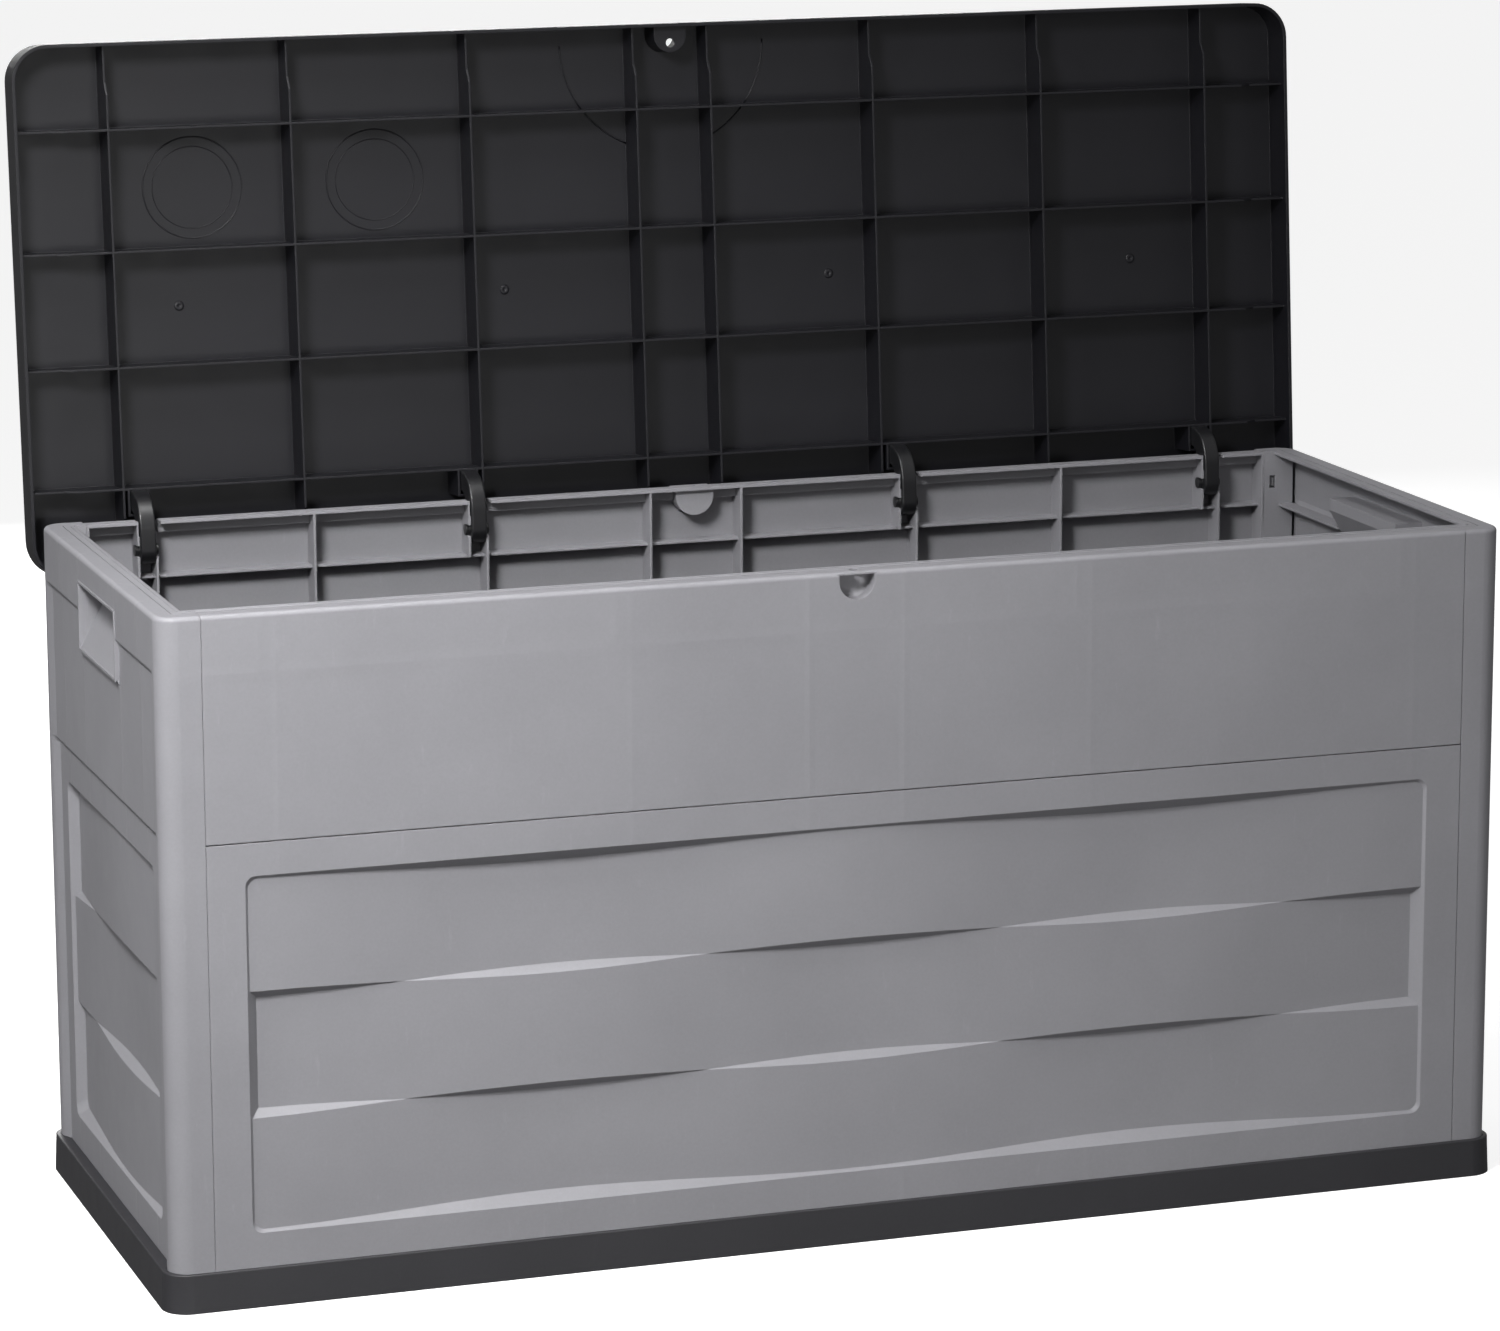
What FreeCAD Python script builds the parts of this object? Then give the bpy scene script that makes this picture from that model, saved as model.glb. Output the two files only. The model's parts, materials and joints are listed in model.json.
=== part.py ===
import FreeCAD, Part
import math
import os

Vector = FreeCAD.Vector

# Deck storage box, millimetres. X runs along the length, Y from front to back, Z up.
# The origin is the centre of the base's underside. The lid rests wide open.

# Driving dimensions of the body
body_length = 1188.0
body_depth = 450.0
rim_height = 580.0
base_height = 33.0
base_overhang_x = 6.0
base_overhang_y = 5.0
mid_seam_height = 391.0
corner_width = 36.0
corner_radius = 18.0
skin = 3.0
rib = 2.2
seam_gap = 0.5

# Driving dimensions of the rim
rim_width = 25.0
rim_thickness = 2.5
rim_edge_radius = 4.0
rear_edge_radius = 11.0
lip_width = 3.0
lip_height = 0.6
groove_inset = 15.5
groove_width = 1.2
groove_depth = 0.8

# Bands on the end panels, each set in under the one above
band_heights = (392.0, 529.0)
band_setback = 3.0
band_bevel = 5.0
band_fade = 16.0

# Sunken windows with three rows of wavy slats
window_bottom = 62.0
window_top = 363.0
front_window_half = 526.0
end_window_half = 167.0
window_radius = 9.0
slat_count = 3
wave_length = 524.0
wave_depth = 6.0
wave_amplitude = 3.5
wave_points_per_length = 8
end_wave_shift = 34.0
bevel_slope = 0.95

# Inner ribs of the front and back panels
plain_rib_positions = (43.0, 354.0)
hinge_positions = (-504.0, -204.0, 204.0, 504.0)
hinge_rib_spacing = 16.5
shelf_rib_heights = (461.0, 531.0)
shelf_rib_depth = 18.0
pin_rib_top = 551.5

# Snap tabs that join the long panels to the corner posts
tab_height = 552.0
tab_half = 4.5
tab_reach = 11.0
tab_near = 3.2
tab_far = 6.5
tab_slack = 0.35

# Inner ribs of the end panels
end_rib_positions = (70.0, 150.0)
end_rib_top = 496.0
end_rib_depth = 16.0
end_shelf_depth = 14.0

# Grip pockets in the end panels
pocket_half = 67.5
pocket_bottom = 500.5
pocket_top = 556.0
pocket_depth = 27.0
pocket_roof = 6.0
pocket_wall_spread = 1.2
pad_margin = 2.0
pad_bevel = 6.0

# Padlock recess, hasp hole and boss
padlock_half = 15.5
padlock_depth = 18.0
padlock_bottom = 556.5
padlock_floor_radius = 6.0
hasp_hole_diameter = 8.0
hasp_hole_setback = 10.0
boss_half = 15.0
boss_depth = 26.0
boss_wall = 2.5
boss_lift = 7.6

# Lid, described closed and then turned open about the hinge axis
lid_length = 1200.0
lid_depth = 465.0
lid_height = 38.0
lid_overlap = 7.0
lid_corner_radius = 32.0
lid_edge_radius = 7.0
lid_rib = 2.0
lid_rib_lift = 1.0
lid_rib_clearance = 8.5
lid_rear_clearance = 10.0
lid_step_inset = 34.5
lid_rear_step_inset = 39.0
lid_step_run = 11.0
lid_cross_ribs = (35.0, 190.0, 354.0, 517.0)
lid_long_ribs = (50.5, 156.8)
lid_open_angle = 94.5
border_inset = 26.0
border_width = 6.0
border_depth = 1.0

# Hinge arms
pivot_y = 208.5
pivot_z = 554.0
pin_radius = 5.0
pin_clearance = 0.06
pin_length = 21.0
barrel_radius = 12.3
arm_width = 14.0
arm_outer_radius = 32.0
arm_inner_radius = 14.5
arm_edge_radius = 1.5
socket_gap = 0.5
socket_length = 24.0
slot_left = 8.0
slot_right = 12.0
slot_skin = 3.5

# Base tray
floor_top = 23.0
floor_thickness = 3.0
tray_draft = 1.5
tray_edge_radius = 1.2
tray_slack = 0.4
tray_rib_pitch_x = 150.0
tray_rib_pitch_y = 110.0
rest_pad_radius = 15.0

half_length = body_length / 2
half_depth = body_depth / 2
seam_x = half_length - corner_width
panel_half = seam_x - seam_gap / 2
inner_face = half_depth - rim_width
slat_height = (window_top - window_bottom) / slat_count
lid_edge_z = rim_height - lid_overlap
lid_top_z = lid_edge_z + lid_height
lid_skin_z = lid_top_z - skin
lid_rear_y = lid_depth / 2
AXIS_X = Vector(1, 0, 0)
AXIS_Z = Vector(0, 0, 1)
ORIGIN = Vector(0, 0, 0)
margin = 1.0


def box(x0, x1, y0, y1, z0, z1):
    return Part.makeBox(x1 - x0, y1 - y0, z1 - z0, Vector(x0, y0, z0))


def cylinder(radius, length, start, direction):
    return Part.makeCylinder(radius, length, start, direction)


def fuse(shapes):
    solid = shapes[0]
    if len(shapes) > 1:
        solid = solid.multiFuse(shapes[1:])
    return solid.removeSplitter()


def turned(shape, angle, centre=ORIGIN, axis=AXIS_Z):
    copy = shape.copy()
    copy.rotate(centre, axis, angle)
    return copy


def moved(shape, x=0.0, y=0.0, z=0.0):
    copy = shape.copy()
    copy.translate(Vector(x, y, z))
    return copy


def polygon_prism(points, direction):
    """Extrude the closed polygon through the given points."""
    wire = Part.makePolygon(points + [points[0]])
    return Part.Face(wire).extrude(direction)


def corner_arc(centre, radius, start_angle, sweep=90):
    """Arc in a level plane, turning anticlockwise; a quarter circle unless another sweep is given."""
    angles = [math.radians(start_angle + step) for step in (0, sweep / 2, sweep)]
    points = [centre + Vector(radius * math.cos(a), radius * math.sin(a), 0) for a in angles]
    return Part.Arc(*points).toShape()


def rounded_rectangle(half_x, half_y, radius, z=0.0):
    """Wire of a rectangle with rounded corners, centred on the origin."""
    cx = half_x - radius
    cy = half_y - radius
    centres = [Vector(cx, cy, z), Vector(-cx, cy, z), Vector(-cx, -cy, z), Vector(cx, -cy, z)]
    arcs = [corner_arc(centres[i], radius, 90 * i) for i in range(4)]
    edges = []
    for i in range(4):
        following = arcs[(i + 1) % 4]
        edges.append(arcs[i])
        edges.append(Part.makeLine(arcs[i].lastVertex().Point, following.firstVertex().Point))
    return Part.Wire(edges)


def rounded_plate(half_x, half_y, radius, z0, z1):
    face = Part.Face(rounded_rectangle(half_x, half_y, radius, z0))
    return face.extrude(Vector(0, 0, z1 - z0))


def ring(half_x, half_y, radius, width, z0, z1):
    """Upright band that follows a rounded rectangle, measured at its outside."""
    inner_radius = max(radius - width, 0.5)
    outside = rounded_plate(half_x, half_y, radius, z0, z1)
    return outside.cut(rounded_plate(half_x - width, half_y - width, inner_radius, z0, z1))


def half_round_prism(half_width, top, bottom, length):
    """Prism along +Y of a D lying flat side up, from y = 0."""
    centre_z = bottom + half_width
    left = Vector(-half_width, 0, centre_z)
    right = Vector(half_width, 0, centre_z)
    arc = Part.Arc(left, Vector(0, 0, bottom), right).toShape()
    corners = [right, Vector(half_width, 0, top), Vector(-half_width, 0, top), left]
    sides = [Part.makeLine(corners[i], corners[i + 1]) for i in range(3)]
    return Part.Face(Part.Wire([arc] + sides)).extrude(Vector(0, length, 0))


# Sunken windows

def slat_depth(u, row, shift):
    """Depth of a slat under the panel's face: neighbouring rows swell in turn."""
    sign = 1 if row % 2 else -1
    return wave_depth + sign * wave_amplitude * math.cos(2 * math.pi * (u - shift) / wave_length)


def slat_prism(half_width, row, shift, grow):
    """One slat's pocket: wavy along the window, with slanted long sides."""
    step = wave_length / wave_points_per_length
    count = int(2 * (half_width + step) / step) + 1
    places = [-(half_width + step) + step * i for i in range(count)]
    places = [min(place, half_width + step) for place in places]
    points = [Vector(u, slat_depth(u, row, shift) + grow, 0) for u in places]
    curve = Part.BSplineCurve()
    curve.interpolate(points)
    front = -margin
    corners = [points[-1], Vector(places[-1], front, 0), Vector(places[0], front, 0), points[0]]
    sides = [Part.makeLine(corners[i], corners[i + 1]) for i in range(3)]
    face = Part.Face(Part.Wire([curve.toShape()] + sides))
    low = window_bottom + row * slat_height
    reach = 3 * slat_height
    prism = moved(face, z=low - reach).extrude(Vector(0, 0, slat_height + 2 * reach))
    return prism.common(slanted_band(half_width + 2 * step, low, low + slat_height, row, grow))


def slanted_band(half_width, low, high, row, grow):
    """Band between two heights whose edges lean inwards with depth."""
    middle = wave_depth
    near = -2 * margin
    far = 3 * wave_depth + grow
    free = 20.0
    low_edge = low if row > 0 else low - free
    high_edge = high if row < slat_count - 1 else high + free
    spread = grow * 0.6
    lean_near = (middle - near) * bevel_slope + spread
    lean_far = (far - middle) * bevel_slope - spread
    corners = [
        Vector(-half_width, near, low_edge - lean_near),
        Vector(-half_width, near, high_edge + lean_near),
        Vector(-half_width, far, high_edge - lean_far),
        Vector(-half_width, far, low_edge + lean_far),
    ]
    return polygon_prism(corners, Vector(2 * half_width, 0, 0))


def window_funnel(half_width, grow):
    """Tapered opening of the window, widest at the panel's face."""
    half_height = (window_top - window_bottom) / 2
    middle = (window_top + window_bottom) / 2
    wires = []
    for depth in (-margin, 2 * wave_depth + grow):
        inset = bevel_slope * depth - grow * 1.6
        outline = rounded_rectangle(half_width - inset, half_height - inset, window_radius, depth)
        wires.append(outline)
    funnel = Part.makeLoft(wires, True, True)
    upright = turned(funnel, 90, ORIGIN, AXIS_X)
    mirrored = upright.mirror(ORIGIN, Vector(0, 1, 0))
    return moved(mirrored, z=middle)


def window_pocket(half_width, shift, grow=0.0):
    """Whole sunken window, cut from y = 0 into +Y."""
    slats = [slat_prism(half_width, row, shift, grow) for row in range(slat_count)]
    return window_funnel(half_width, grow).common(fuse(slats))


# Panels

def panel_edge_chamfer(height, side):
    """Thin groove cutter that softens a panel's upright edge at the seam."""
    size = seam_gap
    x = side * panel_half
    points = [
        Vector(x, -half_depth - margin, 0),
        Vector(x, -half_depth + size, 0),
        Vector(x - side * size, -half_depth, 0),
        Vector(x - side * size, -half_depth - margin, 0),
    ]
    return polygon_prism(points, Vector(0, 0, height))


def panel_rib(x, z0, z1, depth=rim_width):
    return box(x - rib / 2, x + rib / 2, -half_depth + skin - 0.5, -half_depth + depth, z0, z1)


def short_rib_positions(hand):
    """The rib of each hinge pair that ends on the upper shelf; hand is -1 or 1."""
    return [x - hand * hinge_rib_spacing / 2 for x in hinge_positions]


def long_rib_positions(hand):
    """Plain ribs, and the rib of each hinge pair that runs down to the floor."""
    plain = [side * x for x in plain_rib_positions for side in (-1, 1)]
    return plain + [x + hand * hinge_rib_spacing / 2 for x in hinge_positions]


def rim_groove():
    inset = groove_inset
    radius = corner_radius - inset
    low = rim_height - groove_depth
    return ring(half_length - inset, half_depth - inset, radius, groove_width, low, rim_height + margin)


def rim_lip():
    half_x = half_length - rim_width + lip_width
    half_y = inner_face + lip_width
    return ring(half_x, half_y, lip_width + 0.6, lip_width, rim_height - 0.5, rim_height + lip_height)


def long_panel_part(shape):
    """The part of a ring round the rim that lies on the front upper panel."""
    return shape.common(box(-panel_half, panel_half, -half_depth, 0, 0, 2 * rim_height))


def padlock_housing():
    shell = half_round_prism(padlock_half + rib, rim_height - 1, padlock_bottom - rib, padlock_depth + rib)
    return moved(shell, y=-half_depth + 0.5)


def padlock_space():
    roof = rim_height - rim_thickness
    recess = half_round_prism(padlock_half, roof, padlock_bottom, padlock_depth + margin)
    far_edges = [edge for edge in recess.Edges if edge.BoundBox.YMin > padlock_depth]
    curved = [edge for edge in far_edges if edge.Curve.TypeId == "Part::GeomCircle"]
    return moved(recess.makeFillet(padlock_floor_radius, curved), y=-half_depth - margin)


def hasp_hole():
    start = Vector(0, -half_depth + hasp_hole_setback, rim_height - 2 * rim_thickness)
    return cylinder(hasp_hole_diameter / 2, 3 * rim_thickness, start, AXIS_Z)


def side_tabs():
    """Snap tabs that click into the slots of the corner posts."""
    y0 = -inner_face - tab_far
    y1 = -inner_face - tab_near
    tabs = []
    for side in (-1, 1):
        x0, x1 = sorted((side * (panel_half - rib), side * (seam_x + tab_reach)))
        tabs.append(box(x0, x1, y0, y1, tab_height - tab_half, tab_height + tab_half))
    return tabs


def front_top_edges(shape):
    return [
        edge for edge in shape.Edges
        if edge.BoundBox.YMax < -half_depth + 0.01 and edge.BoundBox.ZMin > rim_height - 0.01
    ]


def upper_panel(edge_radius, hand):
    """Front upper panel with its rim, ribs and padlock recess, before any hinge cuts."""
    low = mid_seam_height + seam_gap
    top = rim_height - rim_thickness
    back = -half_depth + edge_radius + 1
    face = box(-panel_half, panel_half, -half_depth, -half_depth + skin, low, rim_height)
    rim = box(-panel_half, panel_half, -half_depth, -inner_face, top, rim_height)
    backing = box(-panel_half, panel_half, -half_depth + 0.5, back, rim_height - edge_radius - 1, rim_height)
    front_block = fuse([face, rim, backing])
    front_block = front_block.makeFillet(edge_radius, front_top_edges(front_block))
    uprights = [panel_rib(x, low, top + 0.5) for x in long_rib_positions(hand)]
    uprights += [panel_rib(x, shelf_rib_heights[1] - 1, top + 0.5) for x in short_rib_positions(hand)]
    ends = [panel_rib(side * (panel_half - rib / 2), low, top + 0.5) for side in (-1, 1)]
    shelves = [
        box(-panel_half, panel_half, -half_depth + 2, -half_depth + shelf_rib_depth, z - rib, z)
        for z in shelf_rib_heights
    ]
    solid = fuse([front_block] + uprights + ends + shelves + side_tabs() + [padlock_housing()])
    solid = solid.fuse(long_panel_part(rim_lip()))
    cutters = [padlock_space(), hasp_hole(), rim_groove()]
    cutters += [panel_edge_chamfer(rim_height, side) for side in (-1, 1)]
    return solid.cut(Part.makeCompound(cutters)).removeSplitter()


def make_front_upper_panel():
    return upper_panel(rim_edge_radius, 1)


def hinge_slot(x):
    """Gap in the rim for a hinge arm, right through the flange and its lip."""
    low = rim_height - rear_edge_radius - 2
    high = rim_height + margin
    return box(x - slot_left, x + slot_right, inner_face - margin, half_depth - slot_skin, low, high)


def pin_seat(x):
    """Open-fronted seats in a pair of ribs, in which the arm's pins turn."""
    radius = pin_radius + pin_clearance
    half = pin_length / 2 + 1
    start = Vector(x - half, pivot_y, pivot_z)
    seat = cylinder(radius, 2 * half, start, AXIS_X)
    mouth = box(x - half, x + half, inner_face - margin, pivot_y, pivot_z - radius, pivot_z + radius)
    return seat.fuse(mouth)


def rib_cutback(x):
    """Clears the rib beside an arm down to the cap that carries the pin."""
    centre = x + hinge_rib_spacing / 2
    top = rim_height - rim_thickness
    return box(centre - rib, centre + rib, inner_face - margin, half_depth - skin, pin_rib_top, top)


def make_back_upper_panel():
    solid = turned(upper_panel(rear_edge_radius, -1), 180)
    cuts = [hinge_slot(x) for x in hinge_positions]
    cuts += [pin_seat(x) for x in hinge_positions]
    cuts += [rib_cutback(x) for x in hinge_positions]
    return solid.cut(Part.makeCompound(cuts))


def lower_panel(hand):
    """Lower panel with the sunken window, a rear skin that follows it, and ribs."""
    high = mid_seam_height - seam_gap
    near = -half_depth + skin - 1
    face = box(-panel_half, panel_half, -half_depth, -half_depth + skin, floor_top, high)
    bulge = moved(window_pocket(front_window_half, 0.0, skin), y=-half_depth)
    bulge = bulge.common(box(-panel_half, panel_half, -half_depth, 0, floor_top, high))
    uprights = [panel_rib(x, floor_top, high, rim_width - 2) for x in long_rib_positions(hand)]
    ends = [panel_rib(side * (panel_half - rib / 2), floor_top, high) for side in (-1, 1)]
    bottom_rib = box(-panel_half, panel_half, near, -inner_face, floor_top, floor_top + rib)
    top_rib = box(-panel_half, panel_half, near, -inner_face, high - rib, high)
    solid = fuse([face, bulge] + uprights + ends + [bottom_rib, top_rib])
    cutters = [moved(window_pocket(front_window_half, 0.0), y=-half_depth)]
    cutters += [panel_edge_chamfer(rim_height, side) for side in (-1, 1)]
    return solid.cut(Part.makeCompound(cutters)).removeSplitter()


def make_front_lower_panel():
    return lower_panel(1)


def make_back_lower_panel():
    return turned(lower_panel(-1), 180)


# End panels

def corner_outline(setback, inset, z):
    """U-shaped outline of an end panel; the set-back end face fades out into the full round corners."""
    radius = corner_radius - inset
    cx = half_length - corner_radius
    cy = half_depth - corner_radius
    y_out = half_depth - inset
    x_face = half_length - inset - setback
    reach = math.hypot(radius - setback, band_fade)
    turn = math.degrees(math.atan2(band_fade, radius - setback) - math.acos(radius / reach))
    front = corner_arc(Vector(cx, -cy, z), radius, 270, 90 + turn)
    back = corner_arc(Vector(cx, cy, z), radius, -turn, 90 + turn)
    points = [
        Vector(seam_x, -y_out, z), front.firstVertex().Point, front.lastVertex().Point,
        Vector(x_face, band_fade - cy, z), Vector(x_face, cy - band_fade, z),
        back.firstVertex().Point, back.lastVertex().Point, Vector(seam_x, y_out, z),
    ]
    lines = [Part.makeLine(points[i], points[(i + 1) % 8]) for i in (0, 2, 3, 4, 6, 7)]
    return Part.Wire([lines[0], front, lines[1], lines[2], lines[3], back, lines[4], lines[5]])


def banded_envelope(inset, z0, z1):
    """Solid inside the end panel's outline, with its stepped bands."""
    low, high = band_heights
    steps = [(z0, 2), (low, 2), (low + band_bevel, 1), (high, 1), (high + band_bevel, 0), (z1, 0)]
    wires = [corner_outline(band_setback * count, inset, z) for z, count in steps]
    return Part.makeLoft(wires, True, True)


def post_walls(z1):
    """Inner walls that close the two corner posts."""
    walls = []
    for side in (-1, 1):
        inner, outer = sorted((side * inner_face, side * (half_depth - 1)))
        walls.append(box(seam_x, seam_x + rib, inner, outer, floor_top, z1))
        inner, outer = sorted((side * inner_face, side * (inner_face + rib)))
        walls.append(box(seam_x, half_length - 2 * band_setback - 1, inner, outer, floor_top, z1))
    return walls


def post_slots():
    """Slots in the corner posts that the long panels' snap tabs enter."""
    low = tab_height - tab_half - tab_slack
    high = tab_height + tab_half + tab_slack
    near = inner_face + tab_near - tab_slack
    far = inner_face + tab_far + tab_slack
    slots = []
    for side in (-1, 1):
        y0, y1 = sorted((side * near, side * far))
        slots.append(box(seam_x - 1, seam_x + rib + 1, y0, y1, low, high))
        y0, y1 = sorted((side * (inner_face - 1), side * (inner_face + rib + tab_slack)))
        slots.append(box(seam_x + tab_reach / 2, seam_x + tab_reach + tab_slack, y0, y1, low - 1, high + 1))
    return slots


def pocket_wedge(grow=0.0):
    """Grip pocket: a floor that slopes in from the lower edge to a level roof."""
    inner = pocket_depth + grow
    lift = pocket_wall_spread * grow
    roof = pocket_top + grow
    corners = [
        Vector(half_length + margin, -pocket_half - grow, pocket_bottom - lift),
        Vector(half_length + margin, -pocket_half - grow, roof),
        Vector(half_length - inner, -pocket_half - grow, roof),
        Vector(half_length - inner, -pocket_half - grow, pocket_top - pocket_roof - lift),
        Vector(half_length, -pocket_half - grow, pocket_bottom - lift),
    ]
    return polygon_prism(corners, Vector(0, 2 * (pocket_half + grow), 0))


def pocket_pad():
    """The top band carried down round the grip pocket, with a bevelled foot."""
    half = pocket_half + pad_margin
    inside = half_length - 2 * band_setback - 1
    low = pocket_bottom - pad_bevel
    corners = [
        Vector(inside, -half, low),
        Vector(half_length - band_setback, -half, low),
        Vector(half_length, -half, pocket_bottom),
        Vector(half_length, -half, band_heights[1] + band_bevel + 1),
        Vector(inside, -half, band_heights[1] + band_bevel + 1),
    ]
    return polygon_prism(corners, Vector(0, 2 * half, 0))


def end_window(grow=0.0):
    face_x = half_length - 2 * band_setback
    return moved(turned(window_pocket(end_window_half, end_wave_shift, grow), 90), x=face_x)


def end_inner_ribs():
    """Shelf ribs beside the grip pocket and uprights below it."""
    outer = half_length - 2 * band_setback - 1
    shelf = shelf_rib_heights[1]
    ribs = []
    for side in (-1, 1):
        y0, y1 = sorted((side * (pocket_half + 3), side * (inner_face + 1)))
        ribs.append(box(outer - end_shelf_depth, outer, y0, y1, shelf - rib, shelf))
        for y in end_rib_positions:
            centre = side * y
            near = centre - rib / 2
            ribs.append(box(outer - end_rib_depth, outer, near, near + rib, floor_top, end_rib_top))
    return ribs


def make_right_end_panel():
    """End panel: one moulding that wraps both corners, with closed corner posts."""
    underside = rim_height - rim_thickness
    outer = banded_envelope(0.0, floor_top, rim_height)
    corner_edges = [
        edge for edge in outer.Edges
        if edge.BoundBox.ZMin > rim_height - 0.01 and edge.BoundBox.XMax > seam_x + 0.1
    ]
    outer = outer.makeFillet(rim_edge_radius, corner_edges)
    hollow = banded_envelope(skin, floor_top - margin, underside)
    hollow = hollow.cut(Part.makeCompound(post_walls(underside)))
    opening_x = half_length - rim_width - 1
    opening = box(seam_x - 1, opening_x, -inner_face, inner_face, underside - 1, rim_height + 2)
    shell = outer.cut(hollow).cut(opening)
    lip = rim_lip().common(box(seam_x, half_length, -half_depth, half_depth, 0, 2 * rim_height))
    parts = [shell, pocket_pad(), pocket_wedge(rib), lip] + end_inner_ribs()
    face_x = half_length - 2 * band_setback
    behind = box(seam_x, face_x, -inner_face, inner_face, floor_top, band_heights[0])
    bulge = end_window(skin).common(behind)
    solid = fuse(parts + [bulge])
    cutters = [pocket_wedge(), end_window(), rim_groove()] + post_slots()
    return solid.cut(Part.makeCompound(cutters)).removeSplitter()


def make_left_end_panel():
    return turned(make_right_end_panel(), 180)


# Base

def tray_ribs():
    """Crossing ribs under the floor, whose lower edges the box stands on."""
    half_x = half_length
    half_y = half_depth
    high = floor_top - floor_thickness + 1
    count_x = int((half_x - 1) / tray_rib_pitch_x)
    count_y = int((half_y - 1) / tray_rib_pitch_y)
    across = [tray_rib_pitch_x * step for step in range(-count_x, count_x + 1)]
    along = [tray_rib_pitch_y * step for step in range(-count_y, count_y + 1)]
    ribs = [box(x - rib / 2, x + rib / 2, -half_y, half_y, 0, high) for x in across]
    ribs += [box(-half_x, half_x, y - rib / 2, y + rib / 2, 0, high) for y in along]
    return ribs


def tray_well():
    """Space inside the plinth's edge, shaped to the feet of the panels."""
    high = base_height + 2
    well_y = half_depth + tray_slack
    middle = box(-seam_x - 1, seam_x + 1, -well_y, well_y, floor_top, high)
    outline = corner_outline(2 * band_setback, -tray_slack, floor_top)
    end = Part.Face(outline).extrude(Vector(0, 0, high - floor_top))
    return fuse([middle, end, turned(end, 180)])


def make_base_tray():
    """Plinth with a raised floor; the panels stand in the channel inside its edge."""
    half_x = half_length + base_overhang_x
    half_y = half_depth + base_overhang_y
    radius = corner_radius + base_overhang_y
    low = rounded_rectangle(half_x, half_y, radius)
    top = rounded_rectangle(half_x - tray_draft, half_y - tray_draft, radius - tray_draft, base_height)
    outer = Part.makeLoft([low, top], True, True)
    top_edges = [edge for edge in outer.Edges if edge.BoundBox.ZMin > base_height - 0.01]
    outer = outer.makeFillet(tray_edge_radius, top_edges)
    under_x = half_x - tray_draft - skin
    under_y = half_y - tray_draft - skin
    under = rounded_plate(under_x, under_y, corner_radius, -1, floor_top - floor_thickness)
    lip_x = seam_x - 4
    locating_lip = ring(lip_x, inner_face - 3, 6.0, rib, floor_top - 1, base_height - 3)
    pad = cylinder(rest_pad_radius, floor_top - 1, ORIGIN, AXIS_Z)
    shell = outer.cut(tray_well()).cut(under)
    return fuse([shell, locating_lip, pad] + tray_ribs())


# Lid

def closed_to_open(shape):
    """Swing a shape drawn with the lid closed to its place with the lid open."""
    return turned(shape, -lid_open_angle, Vector(0, pivot_y, pivot_z), AXIS_X)


def rib_edge(position, half_span, low_clearance, step_inset):
    """Points along a lid rib's free edge near one skirt: high beside it, then down."""
    side = 1 if position > 0 else -1
    return [
        (side * half_span, lid_edge_z + low_clearance),
        (side * (half_span - step_inset), lid_edge_z + low_clearance),
        (side * (half_span - step_inset - lid_step_run), lid_edge_z + lid_rib_lift),
    ]


def lid_cross_rib(x):
    """Rib from front skirt to rear skirt."""
    rear = rib_edge(1, lid_rear_y, lid_rear_clearance, lid_rear_step_inset)
    front = rib_edge(-1, lid_rear_y, lid_rib_clearance, lid_step_inset)
    outline = rear + front[::-1]
    points = [Vector(x - lid_rib / 2, y, z) for y, z in outline]
    points.append(Vector(x - lid_rib / 2, -lid_rear_y, lid_skin_z + 1))
    points.append(Vector(x - lid_rib / 2, lid_rear_y, lid_skin_z + 1))
    return polygon_prism(points, Vector(lid_rib, 0, 0))


def lid_long_rib(y):
    """Rib from one end skirt to the other."""
    half = lid_length / 2
    right = rib_edge(1, half, lid_rib_clearance, lid_step_inset)
    left = rib_edge(-1, half, lid_rib_clearance, lid_step_inset)
    points = [Vector(x, y - lid_rib / 2, z) for x, z in right + left[::-1]]
    points.append(Vector(-half, y - lid_rib / 2, lid_skin_z + 1))
    points.append(Vector(half, y - lid_rib / 2, lid_skin_z + 1))
    return polygon_prism(points, Vector(0, lid_rib, 0))


def half_round_post(half_width, y_flat, y_tip, z0, z1):
    """Upright prism of a D whose flat side faces the front."""
    shoulder = y_tip - half_width
    left = Vector(-half_width, shoulder, z0)
    right = Vector(half_width, shoulder, z0)
    arc = Part.Arc(left, Vector(0, y_tip, z0), right).toShape()
    corners = [right, Vector(half_width, y_flat, z0), Vector(-half_width, y_flat, z0), left]
    sides = [Part.makeLine(corners[i], corners[i + 1]) for i in range(3)]
    return Part.Face(Part.Wire([arc] + sides)).extrude(Vector(0, 0, z1 - z0))


def lid_socket(x):
    """Walled socket behind the rearmost long rib, which holds an arm's foot."""
    outer = arm_width / 2 + socket_gap + lid_rib
    inner = arm_width / 2 + socket_gap
    front = lid_long_ribs[1]
    low = lid_edge_z + lid_rib_lift
    block = box(x - outer, x + outer, front, front + socket_length, low, lid_skin_z + 1)
    space = box(x - inner, x + inner, front, front + socket_length - lid_rib, low - 1, lid_skin_z + 1)
    return block.cut(space)


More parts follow.
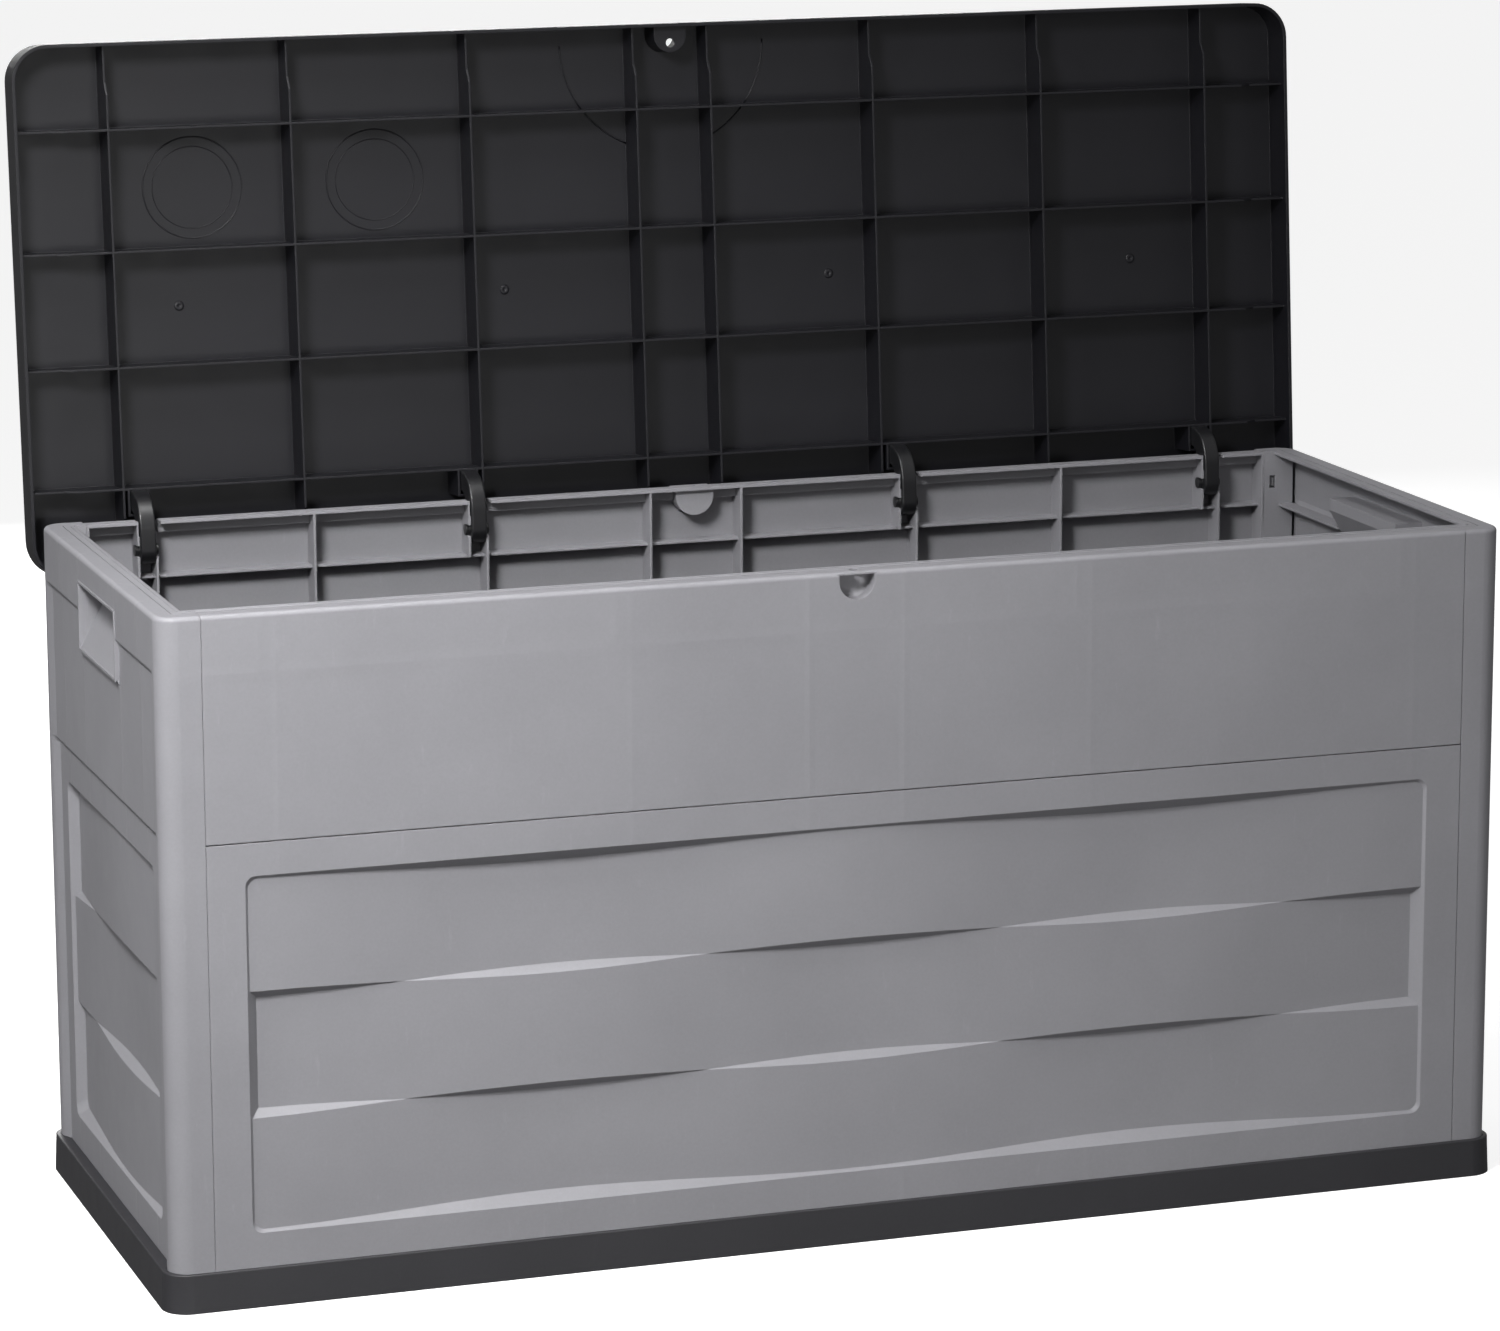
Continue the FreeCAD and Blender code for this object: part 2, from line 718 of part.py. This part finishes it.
def make_lid():
    """Lid with rounded skirt, crossing ribs, padlock boss and a shallow border channel."""
    half_x = lid_length / 2
    outer = rounded_plate(half_x, lid_rear_y, lid_corner_radius, lid_edge_z, lid_top_z)
    top_edges = [edge for edge in outer.Edges if edge.BoundBox.ZMin > lid_top_z - 0.01]
    outer = outer.makeFillet(lid_edge_radius, top_edges)
    inside_radius = lid_corner_radius - skin
    hollow = rounded_plate(half_x - skin, lid_rear_y - skin, inside_radius, lid_edge_z - 1, lid_skin_z)
    ribs = [lid_cross_rib(side * x) for x in lid_cross_ribs for side in (-1, 1)]
    ribs += [lid_long_rib(side * y) for y in lid_long_ribs for side in (-1, 1)]
    ribs += [lid_socket(x) for x in hinge_positions]
    boss_z = lid_edge_z + boss_lift
    boss_tip = boss_depth - lid_rear_y
    ribs.append(half_round_post(boss_half, 1 - lid_rear_y, boss_tip, boss_z, lid_top_z - 1))
    ribs = [piece.common(outer) for piece in ribs]
    solid = fuse([outer.cut(hollow)] + ribs)
    well_half = boss_half - boss_wall
    well_flat = skin + 1 - lid_rear_y
    well = half_round_post(well_half, well_flat, boss_tip - boss_wall, boss_z + boss_wall, lid_top_z + 1)
    hole_start = Vector(0, -half_depth + hasp_hole_setback, lid_edge_z)
    hole = cylinder(hasp_hole_diameter / 2, lid_height, hole_start, AXIS_Z)
    inset = border_inset
    border = ring(
        half_x - inset, lid_rear_y - inset, lid_corner_radius - 8, border_width,
        lid_top_z - border_depth, lid_top_z + 1,
    )
    return closed_to_open(solid.cut(Part.makeCompound([well, hole, border])).removeSplitter())


# Hinge arms

def arc_edge(centre_y, centre_z, radius, start_angle, end_angle):
    """Arc in the plane x = 0, measured from the pivot, with angles from +Y towards +Z."""
    points = []
    for angle in (start_angle, (start_angle + end_angle) / 2, end_angle):
        turn = math.radians(angle)
        points.append(Vector(0, centre_y + radius * math.cos(turn), centre_z + radius * math.sin(turn)))
    return Part.Arc(*points).toShape()


def gooseneck_face():
    """Side view of the closed arm: from the barrel forwards, then up into the lid."""
    front = lid_long_ribs[1] + lid_rib / 2 - pivot_y
    top = lid_skin_z - pivot_z
    centre_y = front + arm_outer_radius
    centre_z = arm_outer_radius - barrel_radius
    outer = arc_edge(centre_y, centre_z, arm_outer_radius, 270, 180)
    inner = arc_edge(centre_y, centre_z, arm_inner_radius, 180, 270)
    points = [
        inner.lastVertex().Point, Vector(0, 0, centre_z - arm_inner_radius),
        Vector(0, 0, -barrel_radius), outer.firstVertex().Point,
    ]
    edges = [Part.makeLine(points[i], points[i + 1]) for i in range(3)]
    foot = [
        outer.lastVertex().Point, Vector(0, front, top),
        Vector(0, inner.firstVertex().Point.y, top), inner.firstVertex().Point,
    ]
    edges += [outer] + [Part.makeLine(foot[i], foot[i + 1]) for i in range(3)] + [inner]
    return Part.Face(Part.Wire(edges))


def make_hinge_arm(x):
    """Gooseneck arm: a barrel with two pins at one end and a foot in the lid at the other."""
    half = arm_width / 2
    arm = moved(gooseneck_face(), x=-half).extrude(Vector(arm_width, 0, 0))
    arm = arm.makeFillet(arm_edge_radius, long_arm_edges(arm))
    barrel = cylinder(barrel_radius, arm_width, Vector(-half, 0, 0), AXIS_X)
    rims = [edge for edge in barrel.Edges if edge.Curve.TypeId == "Part::GeomCircle"]
    barrel = barrel.makeFillet(arm_edge_radius, rims)
    pins = cylinder(pin_radius, pin_length, Vector(-pin_length / 2, 0, 0), AXIS_X)
    arm = fuse([arm, barrel, pins])
    return closed_to_open(moved(arm, x, pivot_y, pivot_z))


def long_arm_edges(arm):
    """Edges along the arched outside of the arm, on both of its sides."""
    centre_z = arm_outer_radius - barrel_radius
    return [
        edge for edge in arm.Edges
        if edge.BoundBox.XLength < 0.01 and edge.BoundBox.ZMax < centre_z + 0.01
        and edge.BoundBox.ZMin < -barrel_radius + 0.01 and edge.BoundBox.YLength > 1
    ]


def write_parts():
    shapes = {
        "base_tray": make_base_tray(),
        "left_end_panel": make_left_end_panel(),
        "right_end_panel": make_right_end_panel(),
        "front_lower_panel": make_front_lower_panel(),
        "front_upper_panel": make_front_upper_panel(),
        "back_lower_panel": make_back_lower_panel(),
        "back_upper_panel": make_back_upper_panel(),
        "lid": make_lid(),
    }
    for number, x in enumerate(hinge_positions, start=1):
        shapes["hinge_arm_%d" % number] = make_hinge_arm(x)
    os.makedirs("parts", exist_ok=True)
    for name, shape in shapes.items():
        solids = shape.Solids
        if len(solids) != 1 or not shape.isValid():
            raise ValueError("%s isn't one sound solid (%d solids)" % (name, len(solids)))
        solids[0].exportStep("parts/%s.step" % name)
        print(name, round(solids[0].Volume / 1000), "cm3")


write_parts()
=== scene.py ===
import json
import math

import bmesh
import bpy
from mathutils import Matrix, Vector


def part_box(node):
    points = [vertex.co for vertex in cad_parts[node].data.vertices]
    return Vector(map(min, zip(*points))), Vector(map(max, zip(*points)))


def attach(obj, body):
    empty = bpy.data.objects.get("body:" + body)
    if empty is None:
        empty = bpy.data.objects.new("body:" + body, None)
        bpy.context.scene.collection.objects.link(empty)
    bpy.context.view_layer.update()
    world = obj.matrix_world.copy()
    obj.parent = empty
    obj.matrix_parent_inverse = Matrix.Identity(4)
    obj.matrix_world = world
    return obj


# Deck storage box: materials, moulded details, floor, light and camera. Metres, Z up.

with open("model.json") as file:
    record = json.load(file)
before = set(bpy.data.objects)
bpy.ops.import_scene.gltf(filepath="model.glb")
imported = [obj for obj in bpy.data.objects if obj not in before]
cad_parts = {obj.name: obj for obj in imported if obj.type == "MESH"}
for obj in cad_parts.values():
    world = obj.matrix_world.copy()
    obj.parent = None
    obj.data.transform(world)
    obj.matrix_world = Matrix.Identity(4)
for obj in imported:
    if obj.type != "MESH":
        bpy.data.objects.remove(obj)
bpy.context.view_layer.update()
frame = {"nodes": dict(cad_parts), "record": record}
nodes = frame["nodes"]
hinge = frame["record"]["behaviour"]["joints"][0]


# Materials

# How fine each surface pattern is, as noise scales
cloud_scale = 6.0
uneven_scale = 14.0
wear_scale = 30.0
gloss_scale = 45.0
scuff_scale = 95.0
fleck_scale = 420.0
grain_scale = 1500.0

# Most of a noise pattern lies between these values
noise_low = 0.3
noise_high = 0.7

# Only the peaks of the scuff noise show, drawn out along Z
scuff_start = 0.62
scuff_full = 0.74
scuff_stretch = 0.22

edge_softness = 0.0009
gloss_variation = 0.12

# How far the softened normal turns at an edge, as cosines
edge_start = 0.995
edge_full = 0.85

# Sink marks, where ribs stand behind the outer walls
wall_y = -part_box("front_upper_panel")[0][1]
wall_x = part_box("right_end_panel")[1][0]
half_reach = 0.6
mark_half_width = 0.0028
mark_tone = 1.02
shelf_mark = 0.530
rib_pair_half = 0.00825
hinge_x = (-0.504, -0.204, 0.204, 0.504)
tall_marks = [x + rib_pair_half for x in hinge_x] + [-0.354, -0.043, 0.043, 0.354]
short_marks = [x - rib_pair_half for x in hinge_x]
end_marks = (-0.15, -0.07, 0.07, 0.15)

# Marks show only this near to a wall's outermost plane
long_wall_skin = 0.0012
end_wall_skin = 0.008


def add(tree, kind, inputs=None, **settings):
    """Adds a shader node. An input is either a plain value or another node's output."""
    node = tree.nodes.new("ShaderNode" + kind)
    for name, value in settings.items():
        setattr(node, name, value)
    for name, value in (inputs or {}).items():
        if isinstance(value, bpy.types.NodeSocket):
            tree.links.new(value, node.inputs[name])
        else:
            node.inputs[name].default_value = value
    return node


def noise(tree, where, scale, detail=2.0, roughness=0.5):
    inputs = {"Vector": where, "Scale": scale, "Detail": detail, "Roughness": roughness}
    return add(tree, "TexNoise", inputs).outputs["Fac"]


def spread(tree, value, low, high, out_low, out_high):
    """Maps a value's range to another range, without going past its ends."""
    inputs = {0: value, 1: low, 2: high, 3: out_low, 4: out_high}
    return add(tree, "MapRange", inputs).outputs[0]


def past(tree, value, edge, blend):
    """0 up to an edge and 1 from a short blend beyond it."""
    return spread(tree, value, edge, edge + blend, 0.0, 1.0)


def calc(tree, operation, a, b=0.0):
    return add(tree, "Math", {0: a, 1: b}, operation=operation).outputs[0]


def product(tree, *values):
    total = values[0]
    for value in values[1:]:
        total = calc(tree, "MULTIPLY", total, value)
    return total


def bump(tree, height, strength, distance, normal):
    inputs = {"Strength": strength, "Distance": distance, "Height": height, "Normal": normal}
    return add(tree, "Bump", inputs).outputs[0]


def stripes(tree, value, centres, reach, half_width):
    """A ramp along a coordinate that rises to 1 at each centre."""
    ramp = add(tree, "ValToRGB", {"Fac": spread(tree, value, -reach, reach, 0.0, 1.0)})
    elements = ramp.color_ramp.elements
    elements[1].color = (0, 0, 0, 1)
    for centre in centres:
        for offset, tone in ((-half_width, 0), (0, 1), (half_width, 0)):
            place = (centre + offset + reach) / (2 * reach)
            elements.new(place).color = (tone, tone, tone, 1)
    return ramp.outputs["Color"]


def edge_wear_and_highlight(tree, soft):
    """0 on flat faces and up to 1 along edges, where the softened normal turns away."""
    true = add(tree, "NewGeometry").outputs["Normal"]
    align = add(tree, "VectorMath", {0: soft, 1: true}, operation="DOT_PRODUCT").outputs["Value"]
    return spread(tree, align, edge_start, edge_full, 0.0, 1.0)


def sink_marks(tree, where):
    """Faint lines on the outer walls where ribs stand behind them."""
    part = add(tree, "SeparateXYZ", {0: where})
    x, y, z = part.outputs
    upper = past(tree, z, shelf_mark - 0.001, 0.001)
    on_long_wall = past(tree, calc(tree, "ABSOLUTE", y), wall_y - long_wall_skin, 0.0004)
    on_end_wall = past(tree, calc(tree, "ABSOLUTE", x), wall_x - end_wall_skin, 0.0005)
    tall = stripes(tree, x, tall_marks, half_reach, mark_half_width)
    short = stripes(tree, x, short_marks, half_reach, mark_half_width)
    level = stripes(tree, z, (shelf_mark,), 1.0, mark_half_width)
    ends = stripes(tree, y, end_marks, half_reach, 2 * mark_half_width)
    long_wall = calc(tree, "MAXIMUM", tall, product(tree, short, upper))
    long_wall = product(tree, calc(tree, "MAXIMUM", long_wall, level), on_long_wall)
    return calc(tree, "MAXIMUM", long_wall, product(tree, ends, on_end_wall))


def plastic(name, color, roughness, mottle, grain, wear_and_highlight, shine=0.5, marked=False):
    """Moulded plastic: mottling, scuffs, softened edges, edges painted lighter as wear and as a
    painted highlight, rib marks and fine grain.
    """
    material = bpy.data.materials.new(name)
    material.use_nodes = True
    tree = material.node_tree
    shader = tree.nodes["Principled BSDF"]
    where = add(tree, "TexCoord").outputs["Object"]
    drawn = add(tree, "Mapping", {"Vector": where, "Scale": (1.0, 1.0, scuff_stretch)}).outputs[0]
    soft = add(tree, "Bevel", {"Radius": edge_softness}, samples=4).outputs["Normal"]

    cloud = noise(tree, where, cloud_scale, 4.0, 0.6)
    cloud = spread(tree, cloud, noise_low, noise_high, 1 - mottle, 1 + mottle)
    fleck = noise(tree, where, fleck_scale, 3.0, 0.6)
    fleck = spread(tree, fleck, noise_low, noise_high, 1 - mottle / 2, 1 + mottle / 2)
    scuff = noise(tree, drawn, scuff_scale, 7.0, 0.72)
    scuff = spread(tree, scuff, scuff_start, scuff_full, 1.0, 1 + 2 * mottle)
    # Edges are painted lighter where noise allows: partly real wear, partly a painted highlight
    # along the edges
    worn_and_highlit = product(tree, edge_wear_and_highlight(tree, soft), noise(tree, where, wear_scale, 5.0))
    worn_and_highlit = spread(tree, worn_and_highlit, 0.2, 0.8, 1.0, 1 + wear_and_highlight)
    tone = product(tree, cloud, fleck, scuff, worn_and_highlit)

    surface = bump(tree, noise(tree, where, uneven_scale), 0.4, 0.0012, soft)
    if marked:
        marks = sink_marks(tree, where)
        tone = product(tree, tone, spread(tree, marks, 0.0, 1.0, 1.0, mark_tone))
        surface = bump(tree, marks, 0.5, 0.0005, surface)
    surface = bump(tree, noise(tree, where, grain_scale, 3.0, 0.6), grain, 0.0002, surface)

    tint = add(tree, "VectorMath", {0: color, "Scale": tone}, operation="SCALE").outputs[0]
    gloss = product(tree, noise(tree, where, gloss_scale, 5.0), gloss_variation)
    gloss = calc(tree, "ADD", roughness - gloss_variation / 2, gloss)
    tree.links.new(tint, shader.inputs["Base Color"])
    tree.links.new(gloss, shader.inputs["Roughness"])
    tree.links.new(surface, shader.inputs["Normal"])
    shader.inputs["IOR"].default_value = 1.49
    shader.inputs["Specular IOR Level"].default_value = shine
    return material


# The wear amounts set how much lighter the edges are painted, as wear and as a painted highlight
materials = {
    "panel_plastic": plastic(
        "panel_plastic", (0.2, 0.198, 0.212),
        roughness=0.5, mottle=0.05, grain=0.35, wear_and_highlight=0.12, shine=0.4, marked=True),
    "lid_plastic": plastic(
        "lid_plastic", (0.0034, 0.0033, 0.0052),
        roughness=0.46, mottle=0.12, grain=0.4, wear_and_highlight=0.8, shine=0.4),
    "base_plastic": plastic(
        "base_plastic", (0.02, 0.0196, 0.0225),
        roughness=0.52, mottle=0.12, grain=0.4, wear_and_highlight=0.6),
    "hinge_plastic": plastic(
        "hinge_plastic", (0.006, 0.006, 0.007),
        roughness=0.38, mottle=0.08, grain=0.2, wear_and_highlight=0.6),
}
for part in frame["record"]["subparts"]:
    mesh = nodes[part["node"]].data
    mesh.materials.clear()
    mesh.materials.append(materials[part["material_slot"]])
    for polygon in mesh.polygons:
        polygon.material_index = 0


# Moulded details on the inside of the lid, drawn on the closed lid and swung open with it

pivot = Vector(hinge["pos_m"])
open_angle = math.radians(hinge["range_deg"][1])
swing = Matrix.Translation(pivot) @ Matrix.Rotation(-open_angle, 4, "X") @ Matrix.Translation(-pivot)
lid_depth = 0.465
lid_height = 0.038
lid_skin = 0.003
lid_edge_z = 0.573
lid_under_z = lid_edge_z + lid_height - lid_skin
padlock_y = -0.215
centre_rib_x = 0.035
front_rib_y = -0.1568
rib_half = 0.001

arc_radius = 0.096
arc_width = 0.0016
arc_height = 0.0012

gate_mark_x = (-0.453, -0.1545, 0.1545, 0.453)
gate_mark_y = lid_depth / 2 - 0.232

# Radius and depth below the lid's underside; the first circle lies inside the lid
gate_mark_profile = (
    (0.0045, -lid_skin / 2), (0.0045, 0.0), (0.0042, 0.0005), (0.0036, 0.0008),
    (0.0016, 0.0008), (0.001, 0.0004), (0.0002, 0.0003),
)

ring_x = (-0.437, -0.271)
ring_y = lid_depth / 2 - 0.3355

bead_steps = 8
circle_steps = 24
degrees_per_step = 5
fewest_arc_steps = 8


def moulding(name, sections, closed=False):
    """A mesh through a row of equal cross-sections, placed on the open lid."""
    size = len(sections[0])
    points = [swing @ Vector(point) for section in sections for point in section]
    count = len(sections)
    faces = []
    for row in range(count if closed else count - 1):
        here = row * size
        there = (row + 1) % count * size
        for step in range(size):
            after = (step + 1) % size
            faces.append((here + step, there + step, there + after, here + after))
    if not closed:
        faces.append(tuple(range(size)))
        faces.append(tuple(range((count - 1) * size, count * size))[::-1])
    mesh = bpy.data.meshes.new(name)
    mesh.from_pydata(points, [], faces)
    shell = bmesh.new()
    shell.from_mesh(mesh)
    bmesh.ops.recalc_face_normals(shell, faces=shell.faces)
    shell.to_mesh(mesh)
    shell.free()
    piece = bpy.data.objects.new(name, mesh)
    bpy.context.scene.collection.objects.link(piece)
    mesh.materials.append(materials["lid_plastic"])
    for polygon in mesh.polygons:
        polygon.use_smooth = True
    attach(piece, "lid")


def bead_section(point, outward, width, height):
    """Low rounded ridge, standing down from the lid's underside."""
    section = []
    for step in range(bead_steps + 1):
        turn = math.pi * step / bead_steps
        offset = -math.cos(turn) * width / 2
        drop = math.sin(turn) * height
        x, y = point[0] + outward[0] * offset, point[1] + outward[1] * offset
        section.append((x, y, lid_under_z - drop))
    root = lid_under_z + lid_skin / 2
    for offset in (width / 2, -width / 2):
        section.append((point[0] + outward[0] * offset, point[1] + outward[1] * offset, root))
    return section


def ridge_arc(name, centre, radius, start, end, width, height):
    """Ridge along part of a circle, or all of it, with angles in degrees from +X towards +Y."""
    closed = end - start >= 360
    steps = max(fewest_arc_steps, int((end - start) / degrees_per_step))
    sections = []
    for step in range(steps if closed else steps + 1):
        turn = math.radians(start + (end - start) * step / steps)
        outward = (math.cos(turn), math.sin(turn))
        point = (centre[0] + radius * outward[0], centre[1] + radius * outward[1])
        sections.append(bead_section(point, outward, width, height))
    moulding(name, sections, closed)


def gate_mark(name, centre):
    """Round pad left by the mould's gate, with a dimple at its centre."""
    sections = []
    for radius, drop in gate_mark_profile:
        circle = []
        for step in range(circle_steps):
            turn = 2 * math.pi * step / circle_steps
            x, y = centre[0] + radius * math.cos(turn), centre[1] + radius * math.sin(turn)
            circle.append((x, y, lid_under_z - drop))
        sections.append(circle)
    moulding(name, sections)


# The arc about the padlock boss breaks at the front rib and ends at the centre ribs
rise = front_rib_y - padlock_y
low_turn = math.degrees(math.asin((rise - rib_half) / arc_radius))
high_turn = math.degrees(math.asin((rise + rib_half) / arc_radius))
last_turn = math.degrees(math.acos((centre_rib_x + rib_half) / arc_radius))
boss = (0, padlock_y)
for number, (start, end) in enumerate(((0, low_turn), (high_turn, last_turn)), start=1):
    right = "lid_arc_right_%d" % number
    left = "lid_arc_left_%d" % number
    ridge_arc(right, boss, arc_radius, start, end, arc_width, arc_height)
    ridge_arc(left, boss, arc_radius, 180 - end, 180 - start, arc_width, arc_height)

for number, x in enumerate(gate_mark_x, start=1):
    gate_mark("lid_gate_mark_%d" % number, (x, gate_mark_y))

for number, x in enumerate(ring_x, start=1):
    ridge_arc("lid_ring_%d" % number, (x, ring_y), 0.0445, 0, 360, width=0.0014, height=0.0008)
    ridge_arc("lid_ring_inner_%d" % number, (x, ring_y), 0.036, 0, 360, width=0.001, height=0.0006)


# Floor, light and camera

def stage_floor():
    """A bright floor that takes shadows, and neither lights the box nor mirrors in it."""
    bpy.ops.mesh.primitive_plane_add(size=40, location=(0, 0, 0))
    floor = bpy.context.object
    floor.name = "floor"
    paper = bpy.data.materials.new("floor")
    paper.use_nodes = True
    shader = paper.node_tree.nodes["Principled BSDF"]
    shader.inputs["Base Color"].default_value = (0.5, 0.5, 0.5, 1)
    shader.inputs["Emission Color"].default_value = (1, 1, 1, 1)
    shader.inputs["Emission Strength"].default_value = 0.72
    shader.inputs["Roughness"].default_value = 0.9
    floor.data.materials.append(paper)
    floor.visible_diffuse = False
    floor.visible_glossy = False


def soft_surroundings():
    """White room, brighter overhead."""
    world = bpy.data.worlds.new("world")
    bpy.context.scene.world = world
    world.use_nodes = True
    tree = world.node_tree
    direction = add(tree, "SeparateXYZ", {0: add(tree, "TexCoord").outputs["Generated"]})
    overhead = spread(tree, direction.outputs["Z"], -0.3, 0.5, 0.14, 0.34)
    background = tree.nodes["Background"]
    background.inputs["Color"].default_value = (1, 1, 1, 1)
    tree.links.new(overhead, background.inputs["Strength"])


def softbox(name, place, target, size, power, spread_angle=180):
    """Rectangular light, aimed at a point and unseen by the camera."""
    light = bpy.data.lights.new(name, "AREA")
    light.shape = "RECTANGLE"
    light.size, light.size_y = size
    light.energy = power
    light.spread = math.radians(spread_angle)
    lamp = bpy.data.objects.new(name, light)
    bpy.context.scene.collection.objects.link(lamp)
    lamp.location = place
    aim = Vector(target) - Vector(place)
    lamp.rotation_euler = aim.to_track_quat("-Z", "Y").to_euler()
    lamp.visible_camera = False


def aim_camera(place, yaw, pitch, roll, focal, shift):
    """Long lens. In degrees, yaw turns left from +Y, pitch looks up, roll is about the view."""
    camera = bpy.data.cameras.new("camera")
    camera.sensor_fit = "HORIZONTAL"
    camera.sensor_width = 36
    camera.lens = focal
    camera.shift_x, camera.shift_y = shift
    camera.clip_end = 60
    holder = bpy.data.objects.new("camera", camera)
    bpy.context.scene.collection.objects.link(holder)
    turn = Matrix.Rotation(math.radians(yaw), 4, "Z")
    tilt = Matrix.Rotation(math.radians(90 + pitch), 4, "X")
    level = Matrix.Rotation(math.radians(roll), 4, "Z")
    holder.matrix_world = Matrix.Translation(place) @ turn @ tilt @ level
    bpy.context.scene.camera = holder


stage_floor()
soft_surroundings()
softbox("key", (-1.4, -1.5, 1.95), (-0.5, -0.2, 0.45), (0.5, 0.5), power=22.5, spread_angle=90)
softbox("over", (-0.4, -0.6, 2.4), (-0.4, -0.1, 0.45), (0.8, 0.6), power=7, spread_angle=90)
softbox("fill", (-0.3, -3.6, 0.6), (0.2, -0.2, 0.3), (1.6, 0.8), power=26)
softbox("left", (-2.6, -0.9, 0.8), (-0.6, 0.0, 0.2), (0.8, 0.6), power=12)
softbox("back", (0.4, 3.2, 0.9), (0, 0, 0.4), (2.0, 0.8), power=60)
aim_camera(
    (-1.55829, -4.520236, 1.457265), yaw=-18.95, pitch=-11.753, roll=-0.163,
    focal=134.479, shift=(-0.00824, -0.00476))
bpy.context.scene.view_settings.view_transform = "Standard"
